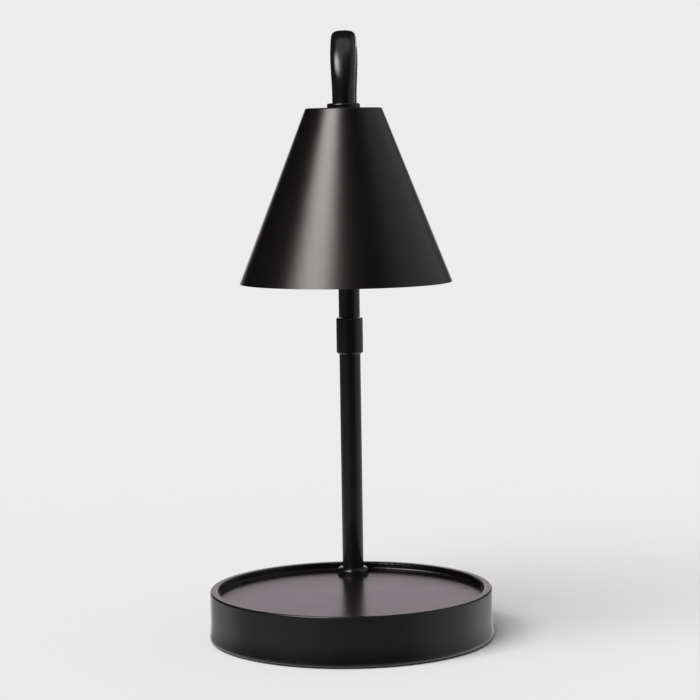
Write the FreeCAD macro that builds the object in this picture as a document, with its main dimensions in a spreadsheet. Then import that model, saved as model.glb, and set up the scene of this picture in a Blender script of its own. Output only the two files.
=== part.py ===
import FreeCAD, Part
import math
import os

import Sketcher
from FreeCAD import Placement, Rotation, Vector

# Candle warmer lamp: a round weighted tray with an upright pole at its rear, and an arm that
# slides and swivels in the pole, arches forward and hangs a cone shade over the tray.
# Millimetres, +Z up, origin at the centre of the foot pad where it rests. The front is -Y.

DIMENSIONS = (
    ("rim_radius", 76.9, "outside radius of the base wall up to its rim"),
    ("foot_radius", 77.5, "outside radius of the flared foot of the base wall"),
    ("foot_round", 1.5, "round under the flared foot"),
    ("flare_start", 11.5, "height where the base wall begins to flare"),
    ("wall_bottom", 0.8, "height of the lower edge of the base wall"),
    ("rim_top", 27.2, "height of the rim round the tray"),
    ("rim_width", 4.3, "width of the rim"),
    ("rim_round", 0.9, "rounds on the edges of the rim"),
    ("tray_floor", 23.6, "height of the tray floor that the candle stands on"),
    ("tray_corner", 0.6, "round between the tray floor and the rim"),
    ("base_sheet", 1.6, "thickness of the base shell"),
    ("pad_radius", 73.5, "radius of the foot pad"),
    ("pad_depth", 1.8, "thickness of the foot pad"),
    ("cover_radius", 75.0, "radius of the bottom cover"),
    ("cover_depth", 1.6, "thickness of the bottom cover"),
    ("weight_radius", 72.0, "radius of the iron weight"),
    ("weight_bottom", 12.0, "height of the underside of the iron weight"),
    ("thread_roof", 3.0, "iron left above each screw thread"),
    ("boss_radius", 5.5, "radius of the weight's screw bosses"),
    ("boss_circle", 50.0, "radius of the circle that the screw bosses stand on"),
    ("cover_screw_shank", 1.75, "shank radius of a cover screw"),
    ("cover_screw_head", 3.4, "head radius of a cover screw"),
    ("cover_screw_top", 10.5, "height of the tip of a cover screw"),
    ("inlet_height", 9.2, "height of the cord inlet"),
    ("inlet_bore", 3.0, "bore radius of the cord inlet"),
    ("inlet_neck", 4.0, "neck radius of the inlet grommet"),
    ("inlet_flange", 5.2, "flange radius of the inlet grommet"),
    ("inlet_length", 4.1, "length of the inlet grommet along its bore"),
    ("inlet_inset", 0.1, "how far the grommet stays inside the foot radius"),
    ("pole_offset", 60.5, "distance of the pole behind the centre of the base"),
    ("tube_radius", 6.0, "outside radius of the pole and of the arm"),
    ("tube_bore", 5.0, "bore radius of the pole and of the arm"),
    ("tube_top", 158.0, "height of the top of the lower tube"),
    ("ring_radius", 8.9, "radius of the foot ring round the pole"),
    ("ring_depth", 3.4, "thickness of the foot ring"),
    ("ring_round", 2.2, "round over the top of the foot ring"),
    ("nipple_radius", 5.0, "outside radius of the threaded nipples"),
    ("nipple_bore", 3.5, "bore radius of the threaded nipples"),
    ("pole_nipple_bottom", 11.0, "height of the lower end of the pole nipple"),
    ("pole_nipple_top", 37.6, "height of the upper end of the pole nipple"),
    ("nut_flats", 14.0, "width across the flats of the nipple nuts"),
    ("nut_depth", 4.0, "thickness of the nipple nuts"),
    ("washer_depth", 1.0, "thickness of the nipple washers"),
    ("washer_slit", 1.2, "width of the slit in the lock washer"),
    ("nut_pocket", 9.6, "radius of the pocket in the weight for the pole nut"),
    ("collar_radius", 7.55, "outside radius of the lock collar"),
    ("collar_bottom", 149.7, "height of the lower end of the lock collar"),
    ("collar_top", 170.1, "height of the upper end of the lock collar"),
    ("collar_thread", 6.6, "thread radius of the bush inside the lock collar"),
    ("collar_edge", 0.8, "chamfer and round on the ends of the lock collar"),
    ("collar_lip", 1.0, "thickness of the lip inside the top of the lock collar"),
    ("collar_nose", 0.9, "width of the lip's flat next to the collar's cone"),
    ("collet_foot", 1.0, "height of the collet's unslit foot"),
    ("collet_play", 0.4, "gap between the collet's foot and the lock collar"),
    ("collet_tip", 0.8, "thickness of the collet's fingers at their tips"),
    ("collet_slit", 0.8, "width of the slits in the collet"),
    ("bush_bottom", 140.0, "height of the lower end of the collar bush"),
    ("bush_top", 165.5, "height of the upper end of the collar bush"),
    ("turn_fit", 0.05, "radial clearance where one piece turns or slides in another"),
    ("free_gap", 0.3, "gap between pieces that pass each other"),
    ("slide_radius", 4.0, "outside radius of the slide tube inside the pole"),
    ("slide_bore", 3.0, "bore radius of the slide tube"),
    ("arm_travel", 60.0, "how far the arm slides up from its lowest setting"),
    ("guide_depth", 6.0, "length of the guide ring on the slide tube"),
    ("stop_gap", 0.5, "gap left between guide ring and collar bush at full height"),
    ("arm_bottom", 170.4, "height of the lower end of the arm tube"),
    ("arm_bush_length", 16.0, "length of the bush that joins the slide tube to the arm"),
    ("shade_offset", -8.3, "place of the shade axis along Y"),
    ("arch_bend", 24.0, "bend radius of the arch at the middle of its tube"),
    ("arch_spring", 300.3, "height where the bends of the arch begin"),
    ("crown_width", 13.7, "width of the tube over the arch, where bending widens it"),
    ("crown_depth", 10.4, "thickness of the tube over the arch, where bending flattens it"),
    ("flat_lead", 6.3, "length of straight tube over which the flattening begins"),
    ("shade_top", 287.4, "height of the top of the shade"),
    ("shade_bottom", 194.6, "height of the lower edge of the shade"),
    ("shade_top_radius", 20.4, "outside radius of the shade at its top"),
    ("shade_foot_radius", 56.9, "outside radius of the shade at its lower edge"),
    ("shade_sheet", 1.0, "thickness of the shade"),
    ("shade_hem", 1.6, "height of the hem inside the shade's lower edge"),
    ("hem_step", 0.6, "how far the hem stands in from the shade's inner face"),
    ("shade_edge", 0.9, "reach of the round between the shade's side and its top"),
    ("shade_shoulder", 1.17, "radius of the round between the shade's side and its top"),
    ("shade_washer_radius", 8.85, "radius of the washer on top of the shade"),
    ("shade_washer_depth", 2.5, "thickness of the washer on top of the shade"),
    ("shade_nipple_bottom", 279.4, "height of the lower end of the shade nipple"),
    ("shade_nipple_top", 294.0, "height of the upper end of the shade nipple"),
    ("bracket_span", 31.0, "width of the holder bracket over its legs"),
    ("bracket_sheet", 1.0, "thickness of the holder bracket"),
    ("bracket_width", 12.0, "width of the holder bracket's strip"),
    ("bracket_bottom", 262.0, "height of the lower ends of the holder bracket"),
    ("holder_radius", 15.0, "radius of the lampholder"),
    ("holder_top", 278.4, "height of the top of the lampholder"),
    ("holder_bottom", 256.2, "height of the underside of the lampholder"),
    ("holder_screw_height", 268.0, "height of the screws in the lampholder"),
    ("holder_screw_reach", 4.5, "reach of a holder screw into the lampholder"),
    ("holder_screw_head", 1.6, "thickness of a holder screw's head"),
    ("holder_screw_flange", 2.7, "radius of a holder screw's head"),
    ("holder_thread", 5.0, "depth of the threaded holes in the lampholder"),
    ("lead_hole_depth", 3.0, "depth of the lead holes in the lampholder"),
    ("lead_play", 0.2, "gap round a lead in its hole"),
    ("pin_circle", 5.0, "distance of each lamp pin from the shade axis"),
    ("pin_shank", 1.5, "shank radius of a lamp pin"),
    ("pin_head", 2.4, "head radius of a lamp pin"),
    ("pin_plate", 2.4, "thickness of the lampholder's plate that the pin heads lock behind"),
    ("pin_top", 262.0, "height of the top of the lamp pins"),
    ("lock_turn", 30.0, "turn in degrees that unlocks the bulb"),
    ("bulb_face", 206.0, "height of the front rim of the bulb"),
    ("bulb_radius", 25.0, "radius of the bulb at its front rim"),
    ("bulb_neck", 241.0, "height where the bulb's glass meets its ceramic base"),
    ("bulb_glass", 1.4, "thickness of the bulb's glass"),
    ("bulb_rim", 4.0, "height of the straight rim of the bulb"),
    ("bulb_throat", 12.5, "radius of the bulb where its glass meets its base"),
    ("bulb_curve", 37.5, "radius of the curve of the bulb's reflector"),
    ("lens_inset", 0.4, "how far the front glass sits inside the rim of the bulb"),
    ("lens_depth", 2.0, "thickness of the front glass"),
    ("bulb_foot", 3.0, "height of the wide foot of the bulb's ceramic base"),
    ("bulb_step", 1.0, "how far that foot stands out past the throat"),
    ("bulb_plug", 9.4, "radius of the ceramic base next to the lampholder"),
    ("bulb_plug_depth", 4.0, "height of the straight end of the ceramic base"),
    ("capsule_length", 20.0, "length of the halogen capsule"),
    ("capsule_radius", 5.7, "radius of the halogen capsule"),
    ("lead_radius", 0.9, "radius of an insulated lead"),
    ("lead_spacing", 2.1, "distance between the two leads in the tubes"),
    ("lead_bend", 4.0, "bend radius of the leads under the pole"),
    ("lead_rise", 1.0, "height of the leads above the pole nipple, where the coil begins"),
    ("coil_radius", 4.4, "outside radius of the coiled leads in the pole"),
    ("splice_reach", 14.0, "distance from under the pole to the splice caps"),
    ("splice_splay", 10.0, "angle in degrees between each splice and the centre line"),
    ("cap_radius", 2.4, "radius of a splice cap"),
    ("cap_length", 12.0, "length of a splice cap"),
)

HEX_CORNER = 1 / math.cos(math.pi / 6)
LEFT = 1
RIGHT = -1
BOSS_ANGLES = (30, 150, 270)
SIDES = (-1, 1)
ROUND_POWER = 2
SECTION_POINTS = 24
LOFT_DEGREE = 2
FLATTENED_AFTER = 40
BEND_STATIONS = range(0, 91, 10)
LEVEL_STATIONS = (0.3, 0.65)

doc = FreeCAD.newDocument("candle_warmer_lamp")
sheet = doc.addObject("Spreadsheet::Sheet", "sizes")
for row, (word, number, note) in enumerate(DIMENSIONS, start=1):
    sheet.set(f"A{row}", word)
    sheet.set(f"B{row}", str(number))
    sheet.set(f"C{row}", note)
    sheet.setAlias(f"B{row}", word)
doc.recompute()


class Size:
    """A size on the sheet, or one worked out from such sizes: its expression and its value now."""

    def __init__(self, text, value):
        self.text = text
        self.value = value

    def joined(self, sign, other, value):
        """The size that this one and another make."""
        right = other.text if isinstance(other, Size) else str(other)
        return Size(f"({self.text} {sign} {right})", value)

    def __add__(self, other):
        return self.joined("+", other, self.value + now(other))

    def __sub__(self, other):
        return self.joined("-", other, self.value - now(other))

    def __mul__(self, other):
        return self.joined("*", other, self.value * now(other))

    def __truediv__(self, other):
        return self.joined("/", other, self.value / now(other))


def now(size):
    """The present value of a size, or of a plain number."""
    return size.value if isinstance(size, Size) else size


def named(word):
    """The size that the sheet holds under a name."""
    return Size("sizes." + word, float(sheet.get(word)))


def tie(thing, path, size):
    """Give a property its value, by an expression where it comes from the sheet."""
    if isinstance(size, Size):
        thing.setExpression(path, size.text)
    else:
        setattr(thing, path, size)


def put(thing, x=0, y=0, z=0, turn=None):
    """Place an object at a point, each coordinate tied to the sheet where it comes from it."""
    thing.Placement = Placement(Vector(now(x), now(y), now(z)), turn or Rotation())
    for axis, size in zip("xyz", (x, y, z)):
        if isinstance(size, Size):
            thing.setExpression("Placement.Base." + axis, size.text)
    return thing


def cylinder(name, radius, low, high, x=0, y=0):
    """An upright cylinder between two heights."""
    thing = doc.addObject("Part::Cylinder", name)
    tie(thing, "Radius", radius)
    tie(thing, "Height", high - low)
    return put(thing, x, y, low)


def block(name, width, depth, height, x=0, y=0, z=0, turn=None):
    """A box with its lowest corner at a point."""
    thing = doc.addObject("Part::Box", name)
    tie(thing, "Length", width)
    tie(thing, "Width", depth)
    tie(thing, "Height", height)
    return put(thing, x, y, z, turn)


def joined(name, pieces):
    """Several solids made one object."""
    thing = doc.addObject("Part::MultiFuse", name)
    thing.Shapes = pieces
    return thing


def cut(name, base, tools):
    """One object with others taken out of it."""
    thing = doc.addObject("Part::Cut", name)
    thing.Base = base
    thing.Tool = tools[0] if len(tools) == 1 else joined(name + "_cuts", tools)
    return thing


def tube(name, outer, inner, low, high, y=0):
    """An upright tube or washer between two heights."""
    solid = cylinder(name + "_outside", outer, low, high, 0, y)
    bore = cylinder(name + "_bore", inner, low, high, 0, y)
    return cut(name, solid, [bore])


def arc_edge(start, end, radius, side):
    """An arc from one sketch point to the next, with its centre on a side of the way there."""
    chord = end - start
    half = chord.Length / 2
    across = Vector(-chord.y, chord.x, 0).normalize() * side
    centre = start + chord * 0.5 + across * math.sqrt(max(radius**2 - half**2, 0))
    first, last = (start, end) if side == LEFT else (end, start)
    angles = [math.atan2(p.y - centre.y, p.x - centre.x) for p in (first, last)]
    if angles[1] < angles[0]:
        angles[1] += 2 * math.pi
    return Part.ArcOfCircle(Part.Circle(centre, Vector(0, 0, 1), radius), *angles)


def outline_sketch(body, name, outline):
    """A closed outline in the body's XZ plane, with each corner and arc tied to the sheet.

    A corner is (radius, height); an arc to it adds its own radius and the side of its centre.
    """
    sketch = body.newObject("Sketcher::SketchObject", name)
    plane = [p for p in body.Origin.OriginFeatures if p.Role == "XZ_Plane"][0]
    sketch.AttachmentSupport = [(plane, "")]
    sketch.MapMode = "FlatFace"
    points = [Vector(now(step[0]), now(step[1]), 0) for step in outline]
    starts = []
    ends = []
    for index, step in enumerate(outline):
        start, end = points[index - 1], points[index]
        if len(step) == 2:
            sketch.addGeometry(Part.LineSegment(start, end), False)
            starts.append(1)
            ends.append(2)
            continue
        sketch.addGeometry(arc_edge(start, end, now(step[2]), step[3]), False)
        starts.append(1 if step[3] == LEFT else 2)
        ends.append(2 if step[3] == LEFT else 1)
    for index, step in enumerate(outline):
        after = (index + 1) % len(outline)
        sketch.addConstraint(Sketcher.Constraint("Coincident", index, ends[index], after, starts[after]))
        for kind, size, axis in (("DistanceX", step[0], -2), ("DistanceY", step[1], -1)):
            if now(size) == 0:
                sketch.addConstraint(Sketcher.Constraint("PointOnObject", index, ends[index], axis))
                continue
            rule = Sketcher.Constraint(kind, -1, 1, index, ends[index], now(size))
            held = sketch.addConstraint(rule)
            if isinstance(size, Size):
                sketch.setExpression(f"Constraints[{held}]", size.text)
        if len(step) > 2:
            held = sketch.addConstraint(Sketcher.Constraint("Radius", index, now(step[2])))
            if isinstance(step[2], Size):
                sketch.setExpression(f"Constraints[{held}]", step[2].text)
    return sketch


def turned(name, outline, x=0, y=0, z=0, turn=None):
    """A piece turned about its own axis from an outline of (radius, height) corners."""
    body = doc.addObject("PartDesign::Body", name)
    sketch = outline_sketch(body, name + "_outline", outline)
    feature = body.newObject("PartDesign::Revolution", name + "_turning")
    feature.Profile = sketch
    feature.ReferenceAxis = (sketch, ["V_Axis"])
    feature.Angle = 360
    return put(body, x, y, z, turn)


def hex_nut(name, low, high, y):
    """A hexagon nut on a nipple."""
    blank = doc.addObject("Part::Prism", name + "_blank")
    blank.Polygon = 6
    tie(blank, "Circumradius", named("nut_flats") / 2 * HEX_CORNER)
    tie(blank, "Height", high - low)
    put(blank, 0, y, low)
    bore = cylinder(name + "_bore", named("nipple_radius"), low, high, 0, y)
    return cut(name, blank, [bore])


def wire_run(points, bends):
    """One insulated lead along straight runs joined by arcs, and its length."""
    edges = []
    start = points[0]
    for corner, after, bend in zip(points[1:-1], points[2:], bends):
        inward = (corner - start).normalize()
        onward = (after - corner).normalize()
        half_turn = inward.getAngle(onward) / 2
        reach = bend * math.tan(half_turn)
        first = corner - inward * reach
        last = corner + onward * reach
        middle = (onward - inward).normalize() * bend * (1 / math.cos(half_turn) - 1)
        edges.append(Part.LineSegment(start, first).toShape())
        edges.append(Part.Arc(first, corner + middle, last).toShape())
        start = last
    edges.append(Part.LineSegment(start, points[-1]).toShape())
    path = Part.Wire(edges)
    heading = (points[1] - points[0]).normalize()
    section = Part.Wire(Part.Circle(points[0], heading, now(named("lead_radius"))).toShape())
    lead = path.makePipeShell([section], True, False)
    expected = path.Length * math.pi * now(named("lead_radius")) ** 2
    print(f"lead: {path.Length:.1f} mm long, volume {lead.Volume:.1f} of {expected:.1f} mm3, bends {bends}")
    return lead


def feature(name, shape):
    """A document object that holds a shape made by the functions here."""
    thing = doc.addObject("Part::Feature", name)
    thing.Shape = shape
    thing.Placement = Placement()
    return thing


def base_shell():
    """The pressed steel tray with its raised rim and flared wall, with holes for pole and cord."""
    rim, foot, sheet_depth = named("rim_radius"), named("foot_radius"), named("base_sheet")
    low, corner = named("wall_bottom"), named("foot_round")
    floor, top = named("tray_floor"), named("rim_top")
    edge, hollow = named("rim_round"), named("tray_corner")
    inner_rim = rim - named("rim_width")
    inset = rim - foot + corner
    rise = named("flare_start") - low - corner
    flare = (rise * rise + inset * inset - corner * corner) / ((corner - inset) * 2)
    share = corner / (flare + corner)
    form = turned(
        "base_shell_form",
        [
            (0, floor - sheet_depth),
            (rim - sheet_depth, floor - sheet_depth),
            (rim - sheet_depth, named("flare_start")),
            (foot - sheet_depth, low + corner, flare + sheet_depth, RIGHT),
            (foot - sheet_depth, low),
            (foot - corner, low),
            (foot - corner + (flare + inset) * share, low + corner + rise * share, corner, LEFT),
            (rim, named("flare_start"), flare, RIGHT),
            (rim, top - edge),
            (rim - edge, top, edge, LEFT),
            (inner_rim + edge, top),
            (inner_rim, top - edge, edge, LEFT),
            (inner_rim, floor + hollow),
            (inner_rim - hollow, floor, hollow, RIGHT),
            (0, floor),
        ],
    )
    pole_hole = cylinder(
        "pole_hole", named("nipple_radius") + named("turn_fit"), low, top, 0, named("pole_offset")
    )
    inlet_hole = doc.addObject("Part::Cylinder", "inlet_hole")
    tie(inlet_hole, "Radius", named("inlet_neck") + named("turn_fit"))
    tie(inlet_hole, "Height", foot - named("weight_radius"))
    put(inlet_hole, 0, named("weight_radius"), named("inlet_height"), Rotation(Vector(1, 0, 0), -90))
    return cut("base_shell", form, [pole_hole, inlet_hole])


def cord_inlet_grommet(shell):
    """The grommet in the rear wall, with a flange inside and outside that follows the wall."""
    bore, neck, flange = named("inlet_bore"), named("inlet_neck"), named("inlet_flange")
    length = named("inlet_length")
    form = turned(
        "grommet_form",
        [(bore, 0), (flange, 0), (flange, length), (bore, length)],
        y=named("foot_radius") - length - named("inlet_inset"),
        z=named("inlet_height"),
        turn=Rotation(Vector(1, 0, 0), -90),
    )
    low, high = named("wall_bottom"), named("rim_top")
    wall = cylinder("grommet_wall", named("rim_radius"), low, high)
    inside = cylinder("grommet_inside", named("rim_radius") - named("base_sheet"), low, high)
    neck_keep = doc.addObject("Part::Cylinder", "grommet_neck")
    tie(neck_keep, "Radius", neck)
    tie(neck_keep, "Height", named("foot_radius") - named("weight_radius"))
    put(neck_keep, 0, named("weight_radius"), named("inlet_height"), Rotation(Vector(1, 0, 0), -90))
    groove = cut("grommet_groove", cut("grommet_band", wall, [inside]), [neck_keep])
    return cut("cord_inlet_grommet", form, [groove, shell])


def base_weight():
    """The cast iron disc that keeps the lamp down, with its bosses, nipple hole and nut pocket."""
    low, high = named("weight_bottom"), named("tray_floor") - named("base_sheet")
    cover_top = named("pad_depth") + named("cover_depth")
    disc = cylinder("weight_disc", named("weight_radius"), low, high)
    bosses = []
    holes = []
    for index, (x, y) in enumerate(boss_places()):
        bosses.append(cylinder(f"weight_boss_{index}", named("boss_radius"), cover_top, high, x, y))
        roof = high - named("thread_roof")
        holes.append(cylinder(f"weight_thread_{index}", named("cover_screw_shank"), cover_top, roof, x, y))
    pocket_top = low + named("nut_depth") + named("washer_depth")
    rear, bore = named("pole_offset"), named("nipple_radius") + named("turn_fit")
    holes.append(cylinder("weight_pole_hole", bore, low, high, 0, rear))
    holes.append(cylinder("weight_pocket", named("nut_pocket"), low, pocket_top, 0, rear))
    return cut("base_weight", joined("weight_blank", [disc, *bosses]), holes)


def boss_places():
    """Where the screw bosses stand, as pairs of sizes."""
    circle = named("boss_circle")
    turns = [math.radians(angle) for angle in BOSS_ANGLES]
    return [(circle * math.cos(turn), circle * math.sin(turn)) for turn in turns]


def base_cover():
    """The sheet cover under the base, with countersunk screw holes."""
    low = named("pad_depth")
    disc = cylinder("cover_disc", named("cover_radius"), low, low + named("cover_depth"))
    sinks = [countersink(f"cover_sink_{index}", x, y) for index, (x, y) in enumerate(boss_places())]
    return cut("base_cover", disc, sinks)


def countersink(name, x, y):
    """The cone of a countersunk head in the thickness of the cover."""
    cone = doc.addObject("Part::Cone", name)
    tie(cone, "Radius1", named("cover_screw_head"))
    tie(cone, "Radius2", named("cover_screw_shank"))
    tie(cone, "Height", named("cover_depth"))
    return put(cone, x, y, named("pad_depth"))


def cover_screws():
    """The three countersunk screws, each a solid of its own."""
    screws = []
    for index, (x, y) in enumerate(boss_places()):
        head = countersink(f"screw_head_{index}", x, y)
        low = named("pad_depth") + named("cover_depth")
        shank = cylinder(
            f"screw_shank_{index}", named("cover_screw_shank"), low, named("cover_screw_top"), x, y
        )
        screws.append(joined(f"cover_screw_{index}", [head, shank]))
    return group("cover_screws", screws)


def group(name, pieces):
    """Separate solids that share one node."""
    thing = doc.addObject("Part::Compound", name)
    thing.Links = pieces
    return thing


def base_pad():
    """The soft pad that the lamp rests on."""
    return cylinder("base_pad", named("pad_radius"), Size("0", 0), named("pad_depth"))


def pole_foot_ring():
    """The domed ring round the foot of the pole."""
    low, high = named("tray_floor"), named("tray_floor") + named("ring_depth")
    outer, edge = named("ring_radius"), named("ring_round")
    bore = named("tube_radius") + named("turn_fit")
    return turned(
        "pole_foot_ring",
        [(bore, low), (outer, low), (outer, high - edge), (outer - edge, high, edge, LEFT), (bore, high)],
        y=named("pole_offset"),
    )


def pole_clamp():
    """The hollow nipple, split washer and nut that clamp the pole, shell and weight together."""
    rear = named("pole_offset")
    low, depth = named("weight_bottom"), named("nut_depth")
    nipple = tube(
        "pole_nipple",
        named("nipple_radius"),
        named("nipple_bore"),
        named("pole_nipple_bottom"),
        named("pole_nipple_top"),
        rear,
    )
    nut = hex_nut("pole_nut", low, low + depth, rear)
    ring = tube(
        "lock_washer_ring",
        named("nut_flats") / 2 + named("washer_depth"),
        named("nipple_radius") + named("turn_fit"),
        low + depth,
        low + depth + named("washer_depth"),
        rear,
    )
    width = named("washer_slit")
    slit = block(
        "lock_washer_slit", width, named("nut_pocket"), named("washer_depth"), width / -2, rear, low + depth
    )
    return [nipple, nut, cut("pole_lock_washer", ring, [slit])]


def lower_tube():
    """The fixed lower tube of the pole."""
    return tube(
        "lower_tube",
        named("tube_radius"),
        named("tube_bore"),
        named("tray_floor"),
        named("tube_top"),
        named("pole_offset"),
    )


def collar_bush():
    """The threaded bush pressed into the top of the lower tube, which the lock collar turns on."""
    bore = named("slide_radius") + named("free_gap")
    spigot, head = named("tube_bore"), named("collar_thread")
    low, shoulder, high = named("bush_bottom"), named("tube_top"), named("bush_top")
    return turned(
        "collar_bush",
        [(bore, low), (spigot, low), (spigot, shoulder), (head, shoulder), (head, high), (bore, high)],
        y=named("pole_offset"),
    )


def lock_collar():
    """The smooth collar that squeezes the collet on the slide tube when it is twisted."""
    outer, edge = named("collar_radius"), named("collar_edge")
    low, high = named("collar_bottom"), named("collar_top")
    thread = named("collar_thread") + named("turn_fit")
    mouth = named("slide_radius") + named("free_gap")
    seat = named("bush_top") + named("collar_edge") * 2
    lip = high - named("collar_lip")
    return turned(
        "lock_collar",
        [
            (thread, low),
            (outer - edge, low),
            (outer, low + edge),
            (outer, high - edge),
            (outer - edge, high, edge, LEFT),
            (mouth, high),
            (mouth, lip),
            (mouth + named("collar_nose"), lip),
            (thread, seat),
        ],
        y=named("pole_offset"),
    )


def friction_collet():
    """The split plastic collet that holds the slide tube at its height and turns with it."""
    bore = named("slide_radius") + named("turn_fit")
    low = named("bush_top") + named("free_gap")
    seat = low + named("collet_foot")
    high = named("collar_top") - named("collar_lip") - named("free_gap")
    wide = named("collar_thread") - named("collet_play")
    body = turned(
        "collet_form",
        [(bore, low), (wide, low), (wide, seat), (bore + named("collet_tip"), high), (bore, high)],
        y=named("pole_offset"),
    )
    width = named("collet_slit")
    rear = named("pole_offset")
    slits = [
        block("collet_slit_x", wide * 2, width, high - seat, wide * -1, rear - width / 2, seat),
        block("collet_slit_y", width, wide * 2, high - seat, width / -2, rear - wide, seat),
    ]
    return cut("friction_collet", body, slits)


def slide_bottom():
    """The height of the lower end of the slide tube, from the stop under the collar bush."""
    return named("bush_bottom") - named("arm_travel") - named("guide_depth") - named("stop_gap")


def slide_tube():
    """The thin tube fixed in the arm, which slides in the pole."""
    return tube(
        "slide_tube",
        named("slide_radius"),
        named("slide_bore"),
        slide_bottom(),
        named("arm_bottom") + named("arm_bush_length"),
        named("pole_offset"),
    )


def guide_ring():
    """The ring on the lower end of the slide tube, which guides it and stops it coming out."""
    return tube(
        "guide_ring",
        named("tube_bore") - named("turn_fit"),
        named("slide_radius"),
        slide_bottom(),
        slide_bottom() + named("guide_depth"),
        named("pole_offset"),
    )


def arm_bush():
    """The bush that fixes the slide tube in the lower end of the arm tube."""
    return tube(
        "arm_bush",
        named("tube_bore"),
        named("slide_radius"),
        named("arm_bottom"),
        named("arm_bottom") + named("arm_bush_length"),
        named("pole_offset"),
    )


def arch_section(width, depth, place, outward, flatness):
    """One closed section of the arched tube, flatter on its outward side where it is bent."""
    points = []
    marks = [index / SECTION_POINTS for index in range(SECTION_POINTS + 1)]
    for mark in marks[:-1]:
        turn = 2 * math.pi * mark
        across, out = math.cos(turn), math.sin(turn)
        power = ROUND_POWER + flatness if out > 0 else ROUND_POWER
        reach = (abs(2 * across / width) ** power + abs(2 * out / depth) ** power) ** (-1 / power)
        points.append(place + Vector(across * reach, 0, 0) + outward * (out * reach))
    curve = Part.BSplineCurve()
    curve.interpolate(Points=points, PeriodicFlag=True, Parameters=marks)
    return Part.Wire(curve.toShape())


def arch_stations():
    """Points along half of the arch, as (forward run, height, outward lean, flatness)."""
    bend, spring, lead = (now(named(w)) for w in ("arch_bend", "arch_spring", "flat_lead"))
    full = lead + bend * math.radians(FLATTENED_AFTER)
    foot = now(named("shade_top") + named("shade_washer_depth"))
    stations = [(0, height, 0, height - spring) for height in (foot, spring - lead, spring - lead / 2)]
    for degrees in BEND_STATIONS:
        lean = math.radians(degrees)
        stations.append((bend * (1 - math.cos(lean)), spring + bend * math.sin(lean), lean, bend * lean))
    level = (now(named("pole_offset")) - now(named("shade_offset"))) / 2 - bend
    for share in LEVEL_STATIONS:
        stations.append((bend + level * share, spring + bend, math.pi / 2, bend * math.pi / 2))
    for run, height, lean, way in stations:
        share = min(max((way + lead) / full, 0), 1)
        yield run, height, lean, share * share * (3 - 2 * share)


def arch_loft(wall):
    """The arch as a solid through its sections, drawn in by a wall on every side."""
    width, depth = (now(named(w)) for w in ("crown_width", "crown_depth"))
    rear, front = now(named("pole_offset")), now(named("shade_offset"))
    plain = 2 * now(named("tube_radius"))
    half = list(arch_stations())
    sections = []
    for side, origin, stations in ((1, rear, half), (-1, front, half[::-1])):
        for run, height, lean, flatness in stations:
            place = Vector(0, origin - side * run, height)
            outward = Vector(0, side * math.cos(lean), math.sin(lean))
            wide = plain + (width - plain) * flatness - 2 * wall
            thick = plain + (depth - plain) * flatness - 2 * wall
            sections.append(arch_section(wide, thick, place, outward, flatness))
    return Part.makeLoft(sections, True, False, False, LOFT_DEGREE), sections


def arm_tube():
    """The bent tube of the arm: a rear leg, an arch that bending has flattened, and a short stub."""
    drop = now(named("shade_top") + named("shade_washer_depth") - named("arm_bottom"))
    outside, sections = arch_loft(0)
    inside, bores = arch_loft(now(named("tube_radius")) - now(named("tube_bore")))
    leg = Part.Face(sections[0]).extrude(Vector(0, 0, -drop))
    leg_bore = Part.Face(bores[0]).extrude(Vector(0, 0, -drop))
    shape = outside.cut(inside).fuse(leg.cut(leg_bore)).removeSplitter()
    return feature("arm_tube", shape.Solids[0] if len(shape.Solids) == 1 else shape)


def shade_fittings():
    """The washers, nipple and nut that fix the shade to the end of the arm."""
    front = named("shade_offset")
    top, sheet_depth, washer = named("shade_top"), named("shade_sheet"), named("washer_depth")
    inner_top = top - sheet_depth
    bracket_top = inner_top - washer
    nut_top = bracket_top - named("bracket_sheet")
    bore = named("nipple_radius") + named("turn_fit")
    outer, high = named("shade_washer_radius"), top + named("shade_washer_depth")
    edge = named("rim_round")
    over = turned(
        "shade_washer",
        [(bore, top), (outer, top), (outer, high - edge), (outer - edge, high, edge, LEFT), (bore, high)],
        y=front,
    )
    under = tube("shade_inner_washer", outer, bore, bracket_top, inner_top, front)
    nipple = tube(
        "shade_nipple",
        named("nipple_radius") - named("turn_fit"),
        named("nipple_bore"),
        named("shade_nipple_bottom"),
        named("shade_nipple_top"),
        front,
    )
    nut = hex_nut("shade_nut", nut_top - named("nut_depth"), nut_top, front)
    return [over, under, nipple, nut]


def shade():
    """The thin steel cone with a flat top and a hemmed lower edge."""
    low, high, sheet_depth = named("shade_bottom"), named("shade_top"), named("shade_sheet")
    foot, crown = named("shade_foot_radius"), named("shade_top_radius")
    slope = (foot - crown) / (high - low)
    edge, bore = named("shade_edge"), named("nipple_radius") + named("turn_fit")
    hem, step = named("shade_hem"), named("hem_step")
    inner = sheet_depth * math.hypot(1, now(slope))
    return turned(
        "shade",
        [
            (foot - inner - step, low),
            (foot, low),
            (crown + slope * edge, high - edge),
            (crown - edge, high, named("shade_shoulder"), LEFT),
            (bore, high),
            (bore, high - sheet_depth),
            (crown + slope * sheet_depth - inner, high - sheet_depth),
            (foot - slope * hem - inner, low + hem),
            (foot - slope * hem - inner - step, low + hem),
        ],
        y=named("shade_offset"),
    )


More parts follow.
